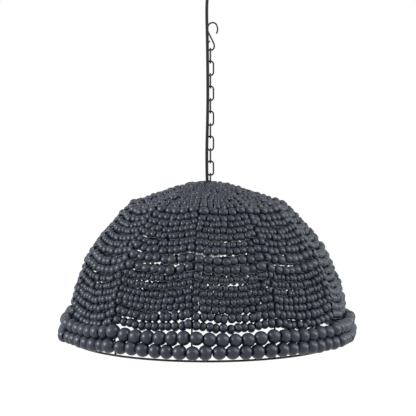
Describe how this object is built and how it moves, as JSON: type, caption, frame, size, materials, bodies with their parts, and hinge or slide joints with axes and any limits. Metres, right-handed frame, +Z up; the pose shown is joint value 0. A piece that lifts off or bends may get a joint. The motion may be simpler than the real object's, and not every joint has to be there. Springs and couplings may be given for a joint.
{
  "type": "beaded chandelier",
  "caption": "Dome of painted wooden beads laced between wire ribs, hung by an S-hook and chain, with a bulb inside and its supply cord running up to a ceiling cup.",
  "frame": {"origin": "middle of the mounting bar's upper face, in the plane of the ceiling, above the dome's axis", "axes": "+Z up, +X to the right and +Y away from the viewer of the picture"},
  "size_m": [0.7427, 0.7428, 0.8901],
  "materials": {
    "black_metal": "satin black enamel, slightly worn on the chain",
    "bead_paint": "turned wooden beads painted charcoal grey, satin",
    "black_plastic": "matte black moulding",
    "cord_cover": "smooth black cord cover",
    "brass": "plain brass",
    "bulb_cap_metal": "bright rolled metal",
    "frosted_glass": "opal white, unlit"
  },
  "bodies": {
    "root": {"mounting_bar": "black_metal", "canopy_nipple": "black_metal", "ceiling_canopy": "black_metal", "canopy_nut": "black_metal", "canopy_cord_grip": "black_plastic", "supply_cord": "cord_cover", "s_hook": "black_metal"},
    "chain_link_01": {"chain_link_01": "black_metal"},
    "chain_link_02": {"chain_link_02": "black_metal"},
    "chain_link_03": {"chain_link_03": "black_metal"},
    "chain_link_04": {"chain_link_04": "black_metal"},
    "chain_link_05": {"chain_link_05": "black_metal"},
    "chain_link_06": {"chain_link_06": "black_metal"},
    "chain_link_07": {"chain_link_07": "black_metal"},
    "chain_link_08": {"chain_link_08": "black_metal"},
    "chain_link_09": {"chain_link_09": "black_metal"},
    "chain_link_10": {"chain_link_10": "black_metal"},
    "chain_link_11": {"chain_link_11": "black_metal"},
    "shade": {"bottom_ring": "black_metal", "rib_01": "black_metal", "rib_02": "black_metal", "rib_03": "black_metal", "rib_04": "black_metal", "rib_05": "black_metal", "rib_06": "black_metal", "rib_07": "black_metal", "rib_08": "black_metal", "rib_09": "black_metal", "rib_10": "black_metal", "rib_11": "black_metal", "crown_collar": "black_metal", "crown_plate": "black_metal", "chain_eye": "black_metal", "chain_eye_nut": "black_metal", "crown_nut": "black_metal", "crown_lock_nut": "black_metal", "lamp_stem": "black_metal", "bead_panel_01": "bead_paint", "bead_panel_02": "bead_paint", "bead_panel_03": "bead_paint", "bead_panel_04": "bead_paint", "bead_panel_05": "bead_paint", "bead_panel_06": "bead_paint", "bead_panel_07": "bead_paint", "bead_panel_08": "bead_paint", "bead_panel_09": "bead_paint", "bead_panel_10": "bead_paint", "bead_panel_11": "bead_paint", "holder_cap": "black_plastic", "lamp_holder": "black_plastic", "cord_bushing": "black_plastic", "lamp_lead": "cord_cover", "holder_nut": "brass", "holder_contact": "brass"},
    "bulb": {"bulb_cap": "bulb_cap_metal", "bulb_glass": "frosted_glass"}
  },
  "joints": [
    {"name": "hinge_01", "type": "hinge", "parent": "root", "child": "chain_link_01", "pos_m": [0.008, 0.007, -0.1805], "axis": [1, 0, 0], "range_deg": [-15, 15], "deforming": ["supply_cord"]},
    {"name": "hinge_02", "type": "hinge", "parent": "chain_link_01", "child": "chain_link_02", "pos_m": [0.008, 0.007, -0.2112], "axis": [0, 1, 0], "range_deg": [-15, 15], "deforming": ["supply_cord"]},
    {"name": "hinge_03", "type": "hinge", "parent": "chain_link_02", "child": "chain_link_03", "pos_m": [0.008, 0.007, -0.2419], "axis": [1, 0, 0], "range_deg": [-15, 15], "deforming": ["supply_cord"]},
    {"name": "hinge_04", "type": "hinge", "parent": "chain_link_03", "child": "chain_link_04", "pos_m": [0.008, 0.007, -0.2726], "axis": [0, 1, 0], "range_deg": [-15, 15], "deforming": ["supply_cord"]},
    {"name": "hinge_05", "type": "hinge", "parent": "chain_link_04", "child": "chain_link_05", "pos_m": [0.008, 0.007, -0.3033], "axis": [1, 0, 0], "range_deg": [-15, 15], "deforming": ["supply_cord"]},
    {"name": "hinge_06", "type": "hinge", "parent": "chain_link_05", "child": "chain_link_06", "pos_m": [0.008, 0.007, -0.334], "axis": [0, 1, 0], "range_deg": [-15, 15], "deforming": ["supply_cord"]},
    {"name": "hinge_07", "type": "hinge", "parent": "chain_link_06", "child": "chain_link_07", "pos_m": [0.008, 0.007, -0.3647], "axis": [1, 0, 0], "range_deg": [-15, 15], "deforming": ["supply_cord"]},
    {"name": "hinge_08", "type": "hinge", "parent": "chain_link_07", "child": "chain_link_08", "pos_m": [0.008, 0.007, -0.3954], "axis": [0, 1, 0], "range_deg": [-15, 15], "deforming": ["supply_cord"]},
    {"name": "hinge_09", "type": "hinge", "parent": "chain_link_08", "child": "chain_link_09", "pos_m": [0.008, 0.007, -0.4261], "axis": [1, 0, 0], "range_deg": [-15, 15], "deforming": ["supply_cord"]},
    {"name": "hinge_10", "type": "hinge", "parent": "chain_link_09", "child": "chain_link_10", "pos_m": [0.008, 0.007, -0.4568], "axis": [0, 1, 0], "range_deg": [-15, 15], "deforming": ["supply_cord"]},
    {"name": "hinge_11", "type": "hinge", "parent": "chain_link_10", "child": "chain_link_11", "pos_m": [0.008, 0.007, -0.4875], "axis": [1, 0, 0], "range_deg": [-15, 15], "deforming": ["supply_cord"]},
    {"name": "hinge_12", "type": "hinge", "parent": "chain_link_11", "child": "shade", "pos_m": [0.008, 0.007, -0.5182], "axis": [0, 1, 0], "range_deg": [-15, 15], "deforming": ["supply_cord"]},
    {"name": "bulb_slide", "type": "slide", "parent": "shade", "child": "bulb", "axis": [0, 0, -1], "range_m": [0, 0.026]}
  ]
}
